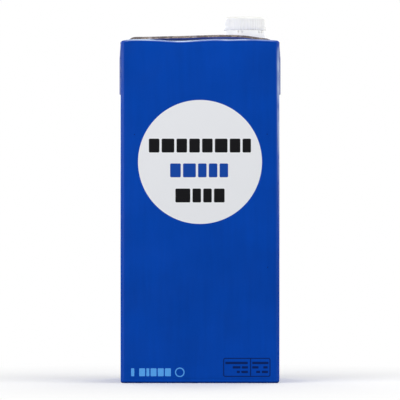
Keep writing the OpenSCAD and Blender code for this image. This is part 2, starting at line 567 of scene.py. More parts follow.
@dataclass(frozen=True)
class PanelPrint:
    """The plain layout on the front and the back panel: a pale disc with three rows of
    blocks, a row of sky-blue blocks with a ring, and an outlined table of dashes.

    Attributes:
        disc_z: Height of the disc's middle.
        disc: Diameter of the disc.
        gap: Gap between two blocks, as a share of their height.
        rounding: Radius of a block's corners, as a share of its height.
        tall: Height of the blocks in the disc.
        small: Height of the blocks at the lower left.
        small_z: Height of their middle, and of the ring's.
        ring: Diameter of the ring.
        dash: Height of the table's dashes.
        speck: Size of the stray specks.
        soft: Width over which an ink's edge fades.
    """

    disc_z: float = 125.9 * MM
    disc: float = 70.5 * MM
    gap: float = 0.16
    rounding: float = 0.09
    tall: float = 7.9 * MM
    small: float = 4.5 * MM
    small_z: float = 6.2 * MM
    ring: float = 5.4 * MM
    dash: float = 1.35 * MM
    speck: float = 0.6 * MM
    soft: float = 0.10 * MM

    def row(self, ends: Span, z: float, height: float, weights: str, ink: Ink) -> list[Bar]:
        """A row of blocks that fills a width.

        Args:
            ends: Its left and right end.
            z: Height of its middle.
            height: Height of the blocks.
            weights: Relative widths of the blocks, a digit each.
            ink: Their colour.

        Returns:
            The blocks.
        """
        gap, corner = self.gap * height, self.rounding * height
        shares = [int(weight) for weight in weights]
        unit = (ends[1] - ends[0] - gap * (len(shares) - 1)) / sum(shares)
        blocks, at = [], ends[0]
        for share in shares:
            width = unit * share
            blocks.append(Bar(at + width / 2, z, width, height, corner, ink))
            at += width + gap
        return blocks

    def words(self) -> list[Bar]:
        """The rows of blocks in the disc and at the lower left.

        Returns:
            All their blocks.
        """
        low, tall, small = self.small_z, self.tall, self.small
        return [
            *self.row((-29.1 * MM, 29.0 * MM), 135.2 * MM, tall, "56555654", Ink.BLACK),
            *self.row((-17.0 * MM, 16.0 * MM), 121.1 * MM, tall, "56444", Ink.BLUE),
            *self.row((-14.0 * MM, 14.0 * MM), 106.8 * MM, tall, "7445", Ink.BLACK),
            *self.row((-39.2 * MM, -37.4 * MM), low, small, "1", Ink.SKY),
            *self.row((-34.6 * MM, -16.6 * MM), low, small, "42444", Ink.SKY),
        ]

    def table(self) -> list[Bar]:
        """The outlined table at the lower right.

        Returns:
            Its outline, its divider and its dashes.
        """
        low, high, left, right = 3.6 * MM, 14.4 * MM, 13.2 * MM, 40.1 * MM
        across, up, divider = (left + right) / 2, (low + high) / 2, 28.8 * MM
        line, corner = 0.55 * MM, 1.2 * MM
        shapes: list[Bar] = [
            Loop(across, up, right - left, high - low, corner, Ink.NAVY, line),
            Bar(divider, up, line, high - low, line / 4, Ink.NAVY),
        ]
        dashes = {
            11.5: ((14.4, 27.2), (29.7, 39.0)),
            9.0: ((18.6, 23.0), (23.8, 27.3), (29.7, 33.3), (36.0, 38.5)),
            6.4: ((20.9, 22.7), (23.5, 27.3), (32.0, 34.2), (35.2, 38.7)),
        }
        for z, spans in dashes.items():
            for near, far in spans:
                middle, width = (near + far) / 2 * MM, (far - near) * MM
                shapes.append(Bar(middle, z * MM, width, self.dash, 0.3 * MM, Ink.NAVY))
        return shapes

    def specks(self) -> list[Bar]:
        """Three stray specks of dark ink."""
        size, places = self.speck, ((-37.3, 141.5), (38.2, 141.7), (38.5, 66.0))
        return [Bar(x * MM, z * MM, size, size, size / 2, Ink.NAVY) for x, z in places]

    def apply(self, sheet: Sheet, ground: Value) -> Socket:
        """Prints the layout over a ground colour.

        Args:
            sheet: The material to print in.
            ground: The colour under the print.

        Returns:
            The printed colour's socket.
        """
        x, y, z = sheet.parts(sheet.place)
        facing = sheet.math("MULTIPLY", sheet.math("SIGN", y), -1.0)
        place = sheet.add("ShaderNodeCombineXYZ", sheet.product(x, facing), z).outputs[0]
        disc = Bar(0, self.disc_z, self.disc, self.disc, self.disc / 2, Ink.PAPER)
        ring, line = self.ring, 0.6 * MM
        circle = Loop(-11.5 * MM, self.small_z, ring, ring, ring / 2, Ink.SKY, line)
        shapes = [disc, *self.words(), circle, *self.table(), *self.specks()]
        colour = ground
        for ink in (Ink.PAPER, Ink.BLACK, Ink.BLUE, Ink.SKY, Ink.NAVY):
            cover: Value = 0.0
            for shape in (s for s in shapes if s.ink is ink):
                cover = sheet.math("MAXIMUM", cover, shape.cover(sheet, place, self.soft))
            colour = sheet.blend(cover, colour, ink.value)
        return colour


@dataclass(frozen=True)
class PrintedBoard:
    """Board printed blue and coated with a thin film.

    Attributes:
        layout: The print on the front and the back panel, or None for a plain blue board.
        roughness: Least and greatest roughness of the film.
        gloss: Strength of its shine.
        wear: How far the folds are rubbed pale.
        rubbed: Colour of a rubbed fold.
        pale: Colour of the painted highlights and of the painted bounce light.
    """

    layout: PanelPrint | None = None
    roughness: Span = (0.28, 0.37)
    gloss: float = 0.12
    wear: float = 0.5
    rubbed: Triple = (0.22, 0.34, 0.62)
    pale: Triple = (0.60, 0.72, 0.93)

    def material(self, name: str) -> bpy.types.Material:
        """Makes the material.

        Args:
            name: Its name.

        Returns:
            The material.
        """
        sheet = Sheet(name)
        cloudy = sheet.clouds(38 * MM, 3.0, (0.3, 0.7), (0.91, 1.09))
        streaky = sheet.clouds(2.6 * MM, 2.0, (0.3, 0.7), (0.965, 1.035), (1, 1, 12))
        speckled = sheet.clouds(0.35 * MM, 1.0, (0.2, 0.8), (0.96, 1.04))
        colour = sheet.shade(Ink.FIELD.value, sheet.product(cloudy, streaky, speckled))
        if self.layout:
            colour = self.layout.apply(sheet, colour)
        worn = sheet.clouds(1.1 * MM, 4.0, (0.42, 0.62), (0.0, 1.0))
        worn = sheet.product(sheet.marked("fold"), worn, self.wear)
        colour = sheet.blend(worn, colour, self.rubbed)
        # Painted highlights on the front crease and the upright edges, and painted bounce light
        # under the fin, where the crease attribute is set.
        uneven = sheet.clouds(11 * MM, 2.0, (0.35, 0.65), (0.35, 0.95))
        colour = sheet.blend(sheet.product(sheet.marked("crease"), uneven), colour, self.pale)
        peel = sheet.relief(sheet.grain(0.9 * MM, 2.0), 0.012 * MM)
        wavy = sheet.relief(sheet.grain(9 * MM, 2.0), 0.10 * MM, peel)
        rough = sheet.clouds(14 * MM, 4.0, (0.25, 0.75), self.roughness)
        return sheet.set(
            Base_Color=colour, Roughness=rough, Normal=wavy, Specular_IOR_Level=self.gloss
        )


@dataclass(frozen=True)
class CutEdge:
    """The raw edge of the board: pale brown cores between their printed faces, and where two
    boards are sealed, a grey foil line between them.

    Attributes:
        core: Colour of the board's core.
        dark: Colour of its darker fibres and its stains.
        bleached: Colour of its paler patches.
        foil: Colour of the film and foil in the middle.
        ink: Colour of the printed faces at the rim.
        layers: The UV map whose second coordinate runs across the thickness.
        boards: How many boards are sealed together, one or two.
    """

    core: Triple = (0.76, 0.62, 0.46)
    dark: Triple = (0.12, 0.085, 0.06)
    bleached: Triple = (0.72, 0.70, 0.69)
    foil: Triple = (0.20, 0.20, 0.22)
    ink: Triple = (0.02, 0.07, 0.30)
    layers: str = "layers"
    boards: int = 2

    def material(self, name: str) -> bpy.types.Material:
        """Makes the material.

        Args:
            name: Its name.

        Returns:
            The material.
        """
        sheet = Sheet(name)
        across = sheet.parts(sheet.add("ShaderNodeUVMap", uv_map=self.layers).outputs[0])[1]
        off = sheet.math("ABSOLUTE", sheet.math("SUBTRACT", across, 0.5))
        fibres = sheet.clouds(0.35 * MM, 3.0, (0.36, 0.62), (0.0, 1.0), (1.4, 1, 1))
        stains = sheet.clouds(3.2 * MM, 3.0, (0.50, 0.56), (0.0, 0.7))
        patches = sheet.clouds(9 * MM, 3.0, (0.56, 0.66), (0.0, 0.8))
        colour = sheet.blend(fibres, self.core, self.dark)
        colour = sheet.blend(stains, colour, self.dark)
        colour = sheet.blend(patches, colour, self.bleached)
        if self.boards == 2:
            colour = sheet.blend(sheet.remap(off, (0.05, 0.10), (1, 0)), colour, self.foil)
        colour = sheet.blend(sheet.remap(off, (0.43, 0.47), (0, 1)), colour, self.ink)
        torn = sheet.relief(sheet.grain(0.3 * MM, 3.0), 0.06 * MM)
        return sheet.set(Base_Color=colour, Roughness=0.9, Normal=torn, Specular_IOR_Level=0.15)


@dataclass(frozen=True)
class MouldedPlastic:
    """White moulded plastic with a soft sheen.

    Attributes:
        colour: Its colour.
        roughness: Least and greatest roughness of its surface.
        glow: How far light spreads inside it.
        sheen: Strength of its shine.
    """

    colour: Triple = (0.94, 0.935, 0.89)
    roughness: Span = (0.33, 0.44)
    glow: float = 0.12
    sheen: float = 0.25

    def material(self, name: str) -> bpy.types.Material:
        """Makes the material.

        Args:
            name: Its name.

        Returns:
            The material.
        """
        sheet = Sheet(name)
        tone = sheet.clouds(5 * MM, 2.0, (0.3, 0.7), (0.975, 1.02))
        return sheet.set(
            Base_Color=sheet.shade(self.colour, tone),
            Roughness=sheet.clouds(1.5 * MM, 3.0, (0.3, 0.7), self.roughness),
            Normal=sheet.relief(sheet.grain(0.25 * MM, 2.0), 0.006 * MM),
            Subsurface_Weight=self.glow,
            Subsurface_Scale=0.6 * MM,
            Subsurface_Radius=(1.0, 0.95, 0.9),
            Specular_IOR_Level=self.sheen,
        )


# ---- Sizes ----


@dataclass(frozen=True)
class Pack:
    """Sizes of the folded board, taken from the frame and a few named values.

    Attributes:
        half_w: Half the width of the brick.
        half_d: Half the depth of the brick.
        top: Height of the top panel, which the spout's flange sits on.
        ear_proud: How far an ear stands out from its side panel.
        fin_proud: How far the pressed fin stands out from the ear.
        front_belly: How far the middle of the front and the back panel bellies out.
        side_belly: How far the middle of a side panel bellies out.
        edge_radius: Radius of the upright edges.
        fold_radius: Radius of the folds at the top and the base.
        pressed: Share of its free height that folded board loses across the side fold.
        press_before: How far before the fold that begins, and over what length.
        press_after: How far past the fold that ends, and over what length.
    """

    half_w: float
    half_d: float
    top: float
    ear_proud: float = 0.6 * MM
    fin_proud: float = 0.4 * MM
    front_belly: float = 1.2 * MM
    side_belly: float = 0.4 * MM
    edge_radius: float = 2.4 * MM
    fold_radius: float = 1.3 * MM
    pressed: float = 0.68
    press_before: Span = (5.5 * MM, 4.5 * MM)
    press_after: Span = (7 * MM, 6 * MM)

    @classmethod
    def from_frame(cls) -> "Pack":
        """Reads the brick's size off the frame's boxes.

        Returns:
            The sizes of the brick inside its ears, its fin and its belly.
        """
        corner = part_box("carton")[1]
        half_w = corner.x - cls.ear_proud - cls.fin_proud
        return cls(half_w, corner.y - cls.front_belly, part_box("spout")[0].z)

    @property
    def flap_len(self) -> float:
        """Length of an ear or a base flap: half the depth, as the tube is folded."""
        return self.half_d

    @property
    def reach(self) -> float:
        """Distance from the middle of the top to where its side fold begins."""
        return self.half_w - self.fold_radius

    @property
    def arc(self) -> float:
        """Length of board round a fold."""
        return self.fold_radius * math.pi / 2

    def swell(self, z: float) -> float:
        """Share of the full belly at a height, nothing at the base and the top."""
        return math.sin(math.pi * min(max(z / self.top, 0.0), 1.0))

    def tight(self, along: float) -> float:
        """How much of its free height folded board keeps at a distance past the side fold.

        Args:
            along: That distance, negative on the top panel.

        Returns:
            The share that it keeps.
        """
        before, after = self.press_before, self.press_after
        near = ease((along + before[0]) / before[1])
        near *= ease((self.arc + after[0] - along) / after[1])
        return 1 - self.pressed * near

    def back(self, x: float, z: float) -> float:
        """Where the back panel lies at a place across and up it."""
        return self.half_d + self.front_belly * self.swell(z) * (1 - (x / self.half_w) ** 2)

    def over_side(self, side: Side, along: float, y: float, out: float) -> Vector:
        """A place on the board that runs over the side fold.

        Args:
            side: Which side.
            along: Distance past the start of the fold, negative on the top panel.
            y: Distance to the back.
            out: Height above the board's surface.

        Returns:
            The place in the frame.
        """
        r = self.fold_radius
        if along < 0:
            x, z = self.reach + along, self.top + out
        elif along < self.arc:
            turn = along / r
            x = self.reach + (r + out) * math.sin(turn)
            z = self.top - r + (r + out) * math.cos(turn)
        else:
            x, z = self.half_w + out, self.top - r - (along - self.arc)
        return Vector((side.value * x, y, z))


@dataclass(frozen=True)
class Dent:
    """A soft dip in the front crease of the top.

    Attributes:
        x: Its middle across the pack.
        width: How far it reaches to each side.
        depth: How deep it is.
    """

    x: float
    width: float
    depth: float

    def at(self, x: float) -> float:
        """Depth of the dip at a place across the pack."""
        return self.depth * (1 - ease(abs(x - self.x) / self.width))


@dataclass(frozen=True)
class PaintedLight:
    """Where the body gets painted light: a painted highlight along the front crease of the top,
    painted bounce light in a paler strip under the fin, and painted highlights down the upper
    part of the front's upright edges.

    Attributes:
        down: How far the crease's line reaches down the front.
        back: How far it reaches over the top, and the width over which it fades.
        strip: Width of the strip under the fin.
        strip_light: Strength of the painted bounce light in that strip.
        ends: How far both stay clear of the sides, and the length over which they fade.
        foot: Height at which the upright edges begin to pale, and over what height.
        head: Distance under the top at which they begin to fade, and over what height.
        line: Width of a pale edge at its foot, and how much wider it gets.
        soft: How far it reaches past that width, and the width over which it fades.
        left: Strength of the painted highlight down the left edge.
        right: Strength of the painted highlight down the right edge.
    """

    down: float = 1.0 * MM
    back: Span = (1.1 * MM, 1.2 * MM)
    strip: float = 8 * MM
    strip_light: float = 0.45
    ends: Span = (1.5 * MM, 4 * MM)
    foot: Span = (35 * MM, 150 * MM)
    head: Span = (5 * MM, 3 * MM)
    line: Span = (0.3 * MM, 1.0 * MM)
    soft: Span = (0.4 * MM, 0.7 * MM)
    left: float = 0.05
    right: float = 0.62

    def at(self, pack: Pack, place: Vector) -> float:
        """How much painted light a point of the plain brick gets.

        Args:
            pack: The board's sizes.
            place: The point.

        Returns:
            No painted light at 0, the full pale colour at 1.
        """
        x, y, z = place
        # Painted highlight along the front crease of the top.
        up = ease((z - pack.top + self.down) / (self.down / 2))
        over = 1 - ease((y + pack.half_d - self.back[0]) / self.back[1])
        # Painted bounce light in the strip under the lifted fin, which lies in its shade.
        under_fin = self.strip_light if -self.strip < y < 0 else 0.0
        inside = ease((pack.half_w - self.ends[0] - abs(x)) / self.ends[1])
        # Painted highlights down the upper part of the front's upright edges, strong on the right
        # and faint on the left.
        high = ease((z - self.foot[0]) / self.foot[1])
        high *= 1 - ease((z - pack.top + self.head[0]) / self.head[1])
        band = self.line[0] + self.line[1] * high
        corner = ease((abs(x) - pack.half_w + band + self.soft[0]) / self.soft[1])
        edge = corner * (y < MM - pack.half_d + band) * high
        top = up * max(over, under_fin) * inside
        return max(top, edge * (self.right if x > 0 else self.left))


# ---- Board pieces ----


@dataclass
class BrickBody:
    """The four panels, the top and the recessed base, in one closed skin.

    Attributes:
        pack: The board's sizes.
        crease_rise: How far the front crease of the top stands above the spout's seat.
        crease_fall: Length over which the crease comes down to the corners.
        dents: Soft dips in that crease.
        painted_light: Where its board gets painted highlights and painted bounce light.
        crown: How far the rubbed crown of a fold reaches, as a share of the fold's radius.
        score_in: Depth of the pressed score line beside a fold.
        score_at: Distance of the score line from the fold's end.
        score_half: Half the width of the score line.
        base_rim: Width of the rim the pack stands on.
        base_slope: Width of the slope up to the base panel.
        base_recess: Depth of the base panel above the rim.
        unevenness: Depth of the soft handling marks in the panels.
        marks_per_m: How close together those marks lie.
        marks_sharp: How sharply they stand off from the flat board between them.
        crease_deep: Height below the top over which the board follows the crease.
        crease_back: Shares of half the depth, from the middle, between which the top panel
            comes up to the crease.
        close: Distances from a fold between which the mesh's rows lie closer.
        close_pitch: How close they lie there.
        pitch: Size of the mesh's faces on a panel.
    """

    pack: Pack
    crease_rise: float = 0.85 * MM
    crease_fall: float = 7 * MM
    dents: tuple[Dent, ...] = (
        Dent(-12 * MM, 21 * MM, 0.95 * MM),
        Dent(16 * MM, 9 * MM, 0.15 * MM),
        Dent(42 * MM, 14 * MM, 0.35 * MM),
    )
    painted_light: PaintedLight = PaintedLight()
    crown: float = 0.9
    score_in: float = 0.10 * MM
    score_at: float = 0.7 * MM
    score_half: float = 0.8 * MM
    base_rim: float = 4 * MM
    base_slope: float = 2 * MM
    base_recess: float = 1.2 * MM
    unevenness: float = 0.10 * MM
    marks_per_m: float = 32
    marks_sharp: float = 1.4
    crease_deep: float = 15 * MM
    crease_back: Span = (0.1, 0.95)
    close: Span = (4 * MM, 16 * MM)
    close_pitch: float = 1.5 * MM
    pitch: float = 2.4 * MM

    def rise(self, x: float) -> float:
        """Height of the front crease above the spout's seat at a place across the pack."""
        level = self.crease_rise - sum(dent.at(x) for dent in self.dents)
        return level * ease((self.pack.half_w - abs(x)) / self.crease_fall)

    def shape(self, place: Vector) -> Vector:
        """Gives the plain brick its bellies, its crease, its score lines and its marks.

        Args:
            place: A point of the plain brick.

        Returns:
            Where it lies on the pack.
        """
        pack = self.pack
        u, v, swell = place.x / pack.half_w, place.y / pack.half_d, pack.swell(place.z)
        low, high = pack.fold_radius + self.score_at, pack.top - pack.fold_radius - self.score_at
        to_score = min(abs(place.z - low), abs(high - place.z))
        score = self.score_in * max(0.0, 1 - to_score / self.score_half)
        marks = ease(0.5 - self.marks_sharp * noise.noise(place * self.marks_per_m))
        uneven = -self.unevenness * swell * marks
        out = Vector((0, 0, 0))
        out.x = u * (pack.side_belly * swell + uneven) * (1 - v * v)
        out.y = v * (pack.front_belly * swell + uneven) * (1 - u * u)
        if abs(v) > OUTERMOST:
            out.y -= math.copysign(score, v) * (1 - u**8)
        if abs(u) > OUTERMOST:
            out.x -= math.copysign(score, u) * (1 - v**8)
        near_top = ease((place.z - pack.top + self.crease_deep + MM) / self.crease_deep)
        near, far = self.crease_back
        to_front = ease((-v - near) / (far - near))
        out.z = self.rise(place.x) * near_top * to_front
        return place + out

    def near_fold(self, place: Vector) -> float:
        """How near a point of the plain brick lies to the crown of a fold.

        Args:
            place: The point.

        Returns:
            From 0 away from the folds to 1 on a crown.
        """
        pack = self.pack
        corner = Vector((pack.half_w, pack.half_d, pack.top))
        gaps = sorted(abs(far - abs(c)) for far, c in zip(corner, place))
        return max(0.0, 1 - (gaps[0] + gaps[1]) / (pack.fold_radius * self.crown))

    def levels(self) -> list[float]:
        """Heights of the mesh's rows: fine beside the folds, even between.

        Returns:
            The heights.
        """
        r, top = self.pack.fold_radius, self.pack.top
        fine = [r + self.score_at * k for k in (0.5, 1, 1.5, 2.5, 4.0)]
        near, far = self.close
        even = steps(r + near, top - r - far, self.pitch)
        close = steps(top - r - far, top - r - near, self.close_pitch)
        return [*fine, *even, *close, *(top - z for z in reversed(fine))]

    def recess_base(self, piece: Piece) -> None:
        """Raises the base panel inside its standing rim.

        Args:
            piece: The plain brick in edit mode.
        """
        middle, rim = Vector((0, 0, 0)), self.base_rim
        w, d = self.pack.reach, self.pack.half_d - self.pack.fold_radius
        deep = rim + self.base_slope
        pick(piece, "FACE", lambda f: f.normal.z < -OUTERMOST and f.calc_area() > w * d)
        extrude()
        spread(middle, (w - rim) / w, (d - rim) / d)
        extrude(self.base_recess)
        spread(middle, (w - deep) / (w - rim), (d - deep) / (d - rim))

    def build(self) -> Piece:
        """Models the body.

        Returns:
            The finished mesh.
        """
        pack = self.pack
        w, d, top = pack.half_w, pack.half_d, pack.top
        piece = block("board_body", Vector((-w, -d, 0)), Vector((w, d, top)))
        with editing(piece):
            pick(piece, "EDGE", lambda e: abs(e.verts[0].co.z - e.verts[1].co.z) > top / 2)
            round_off(pack.edge_radius, 8)
            pick(piece, "EDGE", lambda e: abs(e.verts[0].co.z - e.verts[1].co.z) < MM / 10)
            round_off(pack.fold_radius, 6)
            self.recess_base(piece)
            for axis, half in ((0, w), (1, d)):
                flat = half - pack.edge_radius
                divide(axis, [-flat, *steps(-flat, flat, self.pitch), flat])
            divide(2, self.levels())
            tidy_faces()
        # The crease attribute holds the painted highlights and the painted bounce light.
        mark(piece, "crease", lambda p: self.painted_light.at(pack, p))
        mark(piece, "fold", self.near_fold)
        return formed(piece, self.shape)


@dataclass
class TopFin:
    """The sealed fin: it runs across the top and down both ears, folded to the front.

    Attributes:
        pack: The board's sizes.
        width: From its fold to its cut edge.
        thick: Two boards sealed together.
        stand: How far it stands up before it folds.
        lift_left: Gap under the cut edge over the left half.
        lift_right: Gap under the cut edge beside the spout.
        climb: Where the gap begins to grow, and over what length.
        ripple: Height of the soft ripples of the cut edge.
        ripples_per_m: How close together those lie.
        end_left: Length over which the left end comes down.
        end_right: Length over which the right end comes down.
        sink: How far its root sinks into the panel.
        curl: How straight it is from its fold to its cut edge, 1 for flat.
        root: How far in front of its fold it still stands on the panel, in thicknesses.
        crown: How far it is rounded behind its fold, as a share of its thickness.
        bounce_light: Strength of the painted bounce light on its underside, which lies in the
            fin's shade.
        bounce_fade: How quickly that comes on towards the cut edge.
        seam: Depth of the line where its two boards meet.
        fray: How uneven its cut edge is.
        frays_per_m: How close together the unevenness lies.
        pitch: Length of the mesh's faces.
    """

    pack: Pack
    width: float = 8.5 * MM
    thick: float = 1.3 * MM
    stand: float = 0.5 * MM
    lift_left: float = 1.85 * MM
    lift_right: float = 2.95 * MM
    climb: Span = (-32 * MM, 48 * MM)
    ripple: float = 0.14 * MM
    ripples_per_m: float = 70
    end_left: float = 9 * MM
    end_right: float = 26 * MM
    sink: float = 0.2 * MM
    curl: float = 0.9
    root: float = 0.55
    crown: float = 0.5
    bounce_light: float = 0.9
    bounce_fade: float = 1.6
    seam: float = 0.12 * MM
    fray: float = 0.05 * MM
    frays_per_m: float = 900
    pitch: float = 1.3 * MM

    def lift(self, x: float) -> float:
        """Gap under the cut edge.

        Args:
            x: Distance along the fin from the middle of the top.

        Returns:
            The gap.
        """
        along = ease((x - self.climb[0]) / self.climb[1])
        ripple = self.ripple * noise.noise(Vector((x * self.ripples_per_m, 3.1, 0)))
        high = self.lift_left + (self.lift_right - self.lift_left) * along + ripple
        low = self.pack.ear_proud - self.sink
        fall = self.end_right if x > 0 else self.end_left
        return low + (high - low) * ease((self.pack.half_w - abs(x)) / fall)

    def wrap(self, place: Vector) -> Vector:
        """Takes a point of the flat strip to its place on the pack.

        Args:
            place: The point, with the strip's length along X and its fold at y 0.

        Returns:
            Its place in the frame.
        """
        pack = self.pack
        side = Side.RIGHT if place.x > 0 else Side.LEFT
        along = abs(place.x) - pack.reach
        pressed = ease(along / pack.arc)
        flap = max(0.0, -place.y / self.width)
        stand = self.stand + (pack.ear_proud - self.sink - self.stand) * pressed
        thick = self.thick + (pack.fin_proud + self.sink - self.thick) * pressed
        under = stand + (self.lift(place.x) - stand) * flap**self.curl
        low, high = under, under + thick
        if place.y > -self.thick * self.root:
            low = -self.sink
        if place.y > 0:
            high -= self.crown * thick * (2 * place.y / self.thick) ** 2
        out = low + (high - low) * place.z / self.thick
        return pack.over_side(side, along, place.y, out * (pack.tight(along) if out > 0 else 1))

    def sealed(self, place: Vector) -> float:
        """Painted bounce light on the shaded underside, strongest at the cut edge."""
        low = place.z < self.thick * 0.3
        return self.bounce_light * ease(-place.y / self.width * self.bounce_fade) if low else 0.0

    def fray_edge(self, piece: Piece) -> None:
        """Roughens the cut edge, and presses in the line where its two boards meet.

        Args:
            piece: The flat strip.
        """
        for vertex in piece.data.vertices:
            if abs(vertex.co.y + self.width) < SNAP:
                at_seam = abs(vertex.co.z / self.thick - 0.5) < 0.02
                frayed = self.fray * noise.noise(vertex.co * self.frays_per_m)
                vertex.co.y += (self.seam if at_seam else 0.0) + frayed

    def build(self) -> Piece:
        """Models the fin.

        Returns:
            The finished mesh, printed faces first and cut faces second.
        """
        pack = self.pack
        half = pack.reach + pack.arc + pack.flap_len - pack.fold_radius
        low = Vector((-half, -self.width, 0))
        piece = block("top_fin", low, Vector((half, self.thick / 2, self.thick)))
        folds = [pack.reach + pack.arc * k / 6 for k in range(7)]
        with editing(piece):
            divide(2, [self.thick * k for k in (0.06, 0.45, 0.5, 0.55, 0.94)])
            divide(1, [-self.width * k for k in (0.98, 0.8, 0.6, 0.4, 0.22, 0.12)])
            divide(1, [self.thick * k for k in (-0.6, -0.5, 0, 0.2, 0.35, 0.45)])
            divide(0, steps(-pack.reach, pack.reach, self.pitch))
            for row in (folds, steps(folds[-1], half, 4 * MM)):
                divide(0, [side * fold for fold in row for side in (-1, 1)])
            tidy_faces()
        mark_cut(
            piece,
            self.thick,
            lambda n, c: (n.y < -FACING and abs(c.x) < pack.reach) or abs(n.x) > FACING,
        )
        # The crease attribute carries the painted bounce light on the fin's underside.
        mark(piece, "crease", self.sealed)
        self.fray_edge(piece)
        return formed(piece, self.wrap)


@dataclass
class Flap:
    """A triangle of doubled board with rounded folded edges, drawn flat with its tip to +X.

    Attributes:
        name: The piece's name.
        base: Half the length of its base.
        reach: Distance from its base to its tip.
        thick: Its thickness.
        corner: Radius of its corners.
        edge: Radius of its folded edges.
        pitch: Size of the mesh's faces.
    """

    name: str
    base: float
    reach: float
    thick: float
    corner: float = 1.0 * MM
    edge: float = 0.3 * MM
    pitch: float = 1.8 * MM

    def build(self, from_x: float) -> Piece:
        """Models the flat triangle.

        Args:
            from_x: Where its base lies.

        Returns:
            The mesh, from z 0 up to its thickness.
        """
        tip, middle = from_x + self.reach, self.thick / 2
        low, high = Vector((from_x, -self.base, 0)), Vector((tip, self.base, self.thick))
        piece = block(self.name, low, high)
        with editing(piece):
            for upper in (False, True):
                pick(
                    piece,
                    "VERT",
                    lambda v: v.co.x > tip - MM / 10 and (v.co.z > middle) is upper,
                )
                bpy.ops.mesh.merge(type="CENTER")
            pick(piece, "EDGE", lambda e: abs(e.verts[0].co.z - e.verts[1].co.z) > middle)
            round_off(self.corner, 5)
            pick(piece, "EDGE", lambda e: min(v.co.z for v in e.verts) > self.thick * 0.9)
            round_off(self.edge, 4)
            divide(0, steps(from_x, tip, self.pitch))
            divide(1, steps(-self.base, self.base, self.pitch))
            tidy_faces()
        return piece


@dataclass
class SideEar:
    """The triangular ear that is folded down and glued to a side panel.

    Attributes:
        pack: The board's sizes.
        side: Which side it is on.
        inset: How far its base stays inside the pack's depth at each end.
        overlap: How far it reaches over the top panel.
        sink: How deep it sinks into the panel.
        tuck: How much deeper it sinks at its base, out of sight.
        puff: How far the doubled board springs out between its folds.
        puff_down: How much sooner than the tip that ends, as a factor.
        root: Share of the side fold over which it comes up to full height.
        rub: Width of the rubbed line along its folded edges.
        rub_from: Distance past the fold over which that line comes up.
        worn: How far that line is rubbed pale.
    """

    pack: Pack
    side: Side
    inset: float = 0.6 * MM
    overlap: float = 2.0 * MM
    sink: float = 0.25 * MM
    tuck: float = 0.1 * MM
    puff: float = 0.08 * MM
    puff_down: float = 1.4
    root: float = 0.8
    rub: float = 0.7 * MM
    rub_from: float = 4 * MM
    worn: float = 0.8

    def wrap(self, place: Vector) -> Vector:
        """Takes a point of the flat triangle to its place on the pack.

        Args:
            place: The point, with the side fold's start at x 0.

        Returns:
            Its place in the frame.
        """
        pack = self.pack
        full = pack.ear_proud + self.sink
        down = place.x / (pack.arc + pack.flap_len)
        springy = self.puff * math.sin(math.pi * min(max(down * self.puff_down, 0), 1))
        springy *= 1 - ease(abs(place.y) / (pack.half_d * (1 - down) + MM))
        rooted = ease((place.x + self.overlap) / (self.overlap + pack.arc * self.root))
        risen = place.z / full * (full + springy) * rooted
        out = -self.sink + risen - (1 - rooted) * self.tuck
        out *= pack.tight(place.x) if out > 0 else 1
        return pack.over_side(self.side, place.x, place.y, out)

    def build(self) -> Piece:
        """Models the ear.

        Returns:
            The finished mesh.
        """
        pack = self.pack
        tip = pack.arc + pack.flap_len - pack.fold_radius
        flat = Flap(
            name=f"ear_{self.side.name.lower()}",
            base=pack.half_d - self.inset,
            reach=tip + self.overlap,
            thick=pack.ear_proud + self.sink,
        )
        piece = flat.build(-self.overlap)

        def rubbed(place: Vector) -> float:
            """How far a point of the flat triangle is rubbed pale."""
            edge = flat.base * (tip - place.x) / flat.reach - abs(place.y)
            return self.worn * max(0.0, 1 - abs(edge) / self.rub) * ease(place.x / self.rub_from)

        mark(piece, "fold", rubbed)
        return formed(piece, self.wrap, turned=self.side is Side.LEFT)


@dataclass
class BackSeam:
    """The lap down the back: a raw cut edge on one side, running flush on the other.

    Attributes:
        pack: The board's sizes.
        from_side: Distance from the right side of the pack to the lap's near edge.
        width: Width of the lap.
        thick: Thickness of the board that laps over.
        sink: How deep it sinks into the panel.
        flush: Width over which it runs flush towards the corner.
        end: Length over which it comes down at its ends.
    """

    pack: Pack
    from_side: float = 9 * MM
    width: float = 8 * MM
    thick: float = 0.45 * MM
    sink: float = 0.1 * MM
    flush: float = 4 * MM
    end: float = 1 * MM

    @property
    def near(self) -> float:
        """Where its near edge lies across the back."""
        return self.pack.half_w - self.from_side

    def wrap(self, place: Vector) -> Vector:
        """Takes a point of the flat strip to the back.

        Args:
            place: The point, with the strip's length along Y and its thickness up.

        Returns:
            Its place in the frame.
        """
        pack = self.pack
        fade = ease((self.near - place.x) / self.flush)
        foot = pack.fold_radius * 0.4
        ends = ease((place.y - foot) / self.end) * ease((pack.top - foot - place.y) / self.end)
        out = place.z * fade * ends - self.sink
        return Vector((place.x, pack.back(place.x, place.y) + out, place.y))

    def build(self) -> Piece:
        """Models the seam.

        Returns:
            The finished mesh, printed faces first and cut faces second.
        """
        foot, full = self.pack.fold_radius * 0.5, self.thick + self.sink
        low = Vector((self.near - self.width, foot, 0))
        high = Vector((self.near, self.pack.top - foot, full))
        piece = block("back_seam", low, high)
        with editing(piece):
            divide(1, steps(low.y, high.y, 3 * MM))
            divide(0, steps(low.x, high.x, 1 * MM))
            tidy_faces()
        mark_cut(piece, full, lambda n, c: n.x < -FACING)
        return formed(piece, self.wrap, turned=True)


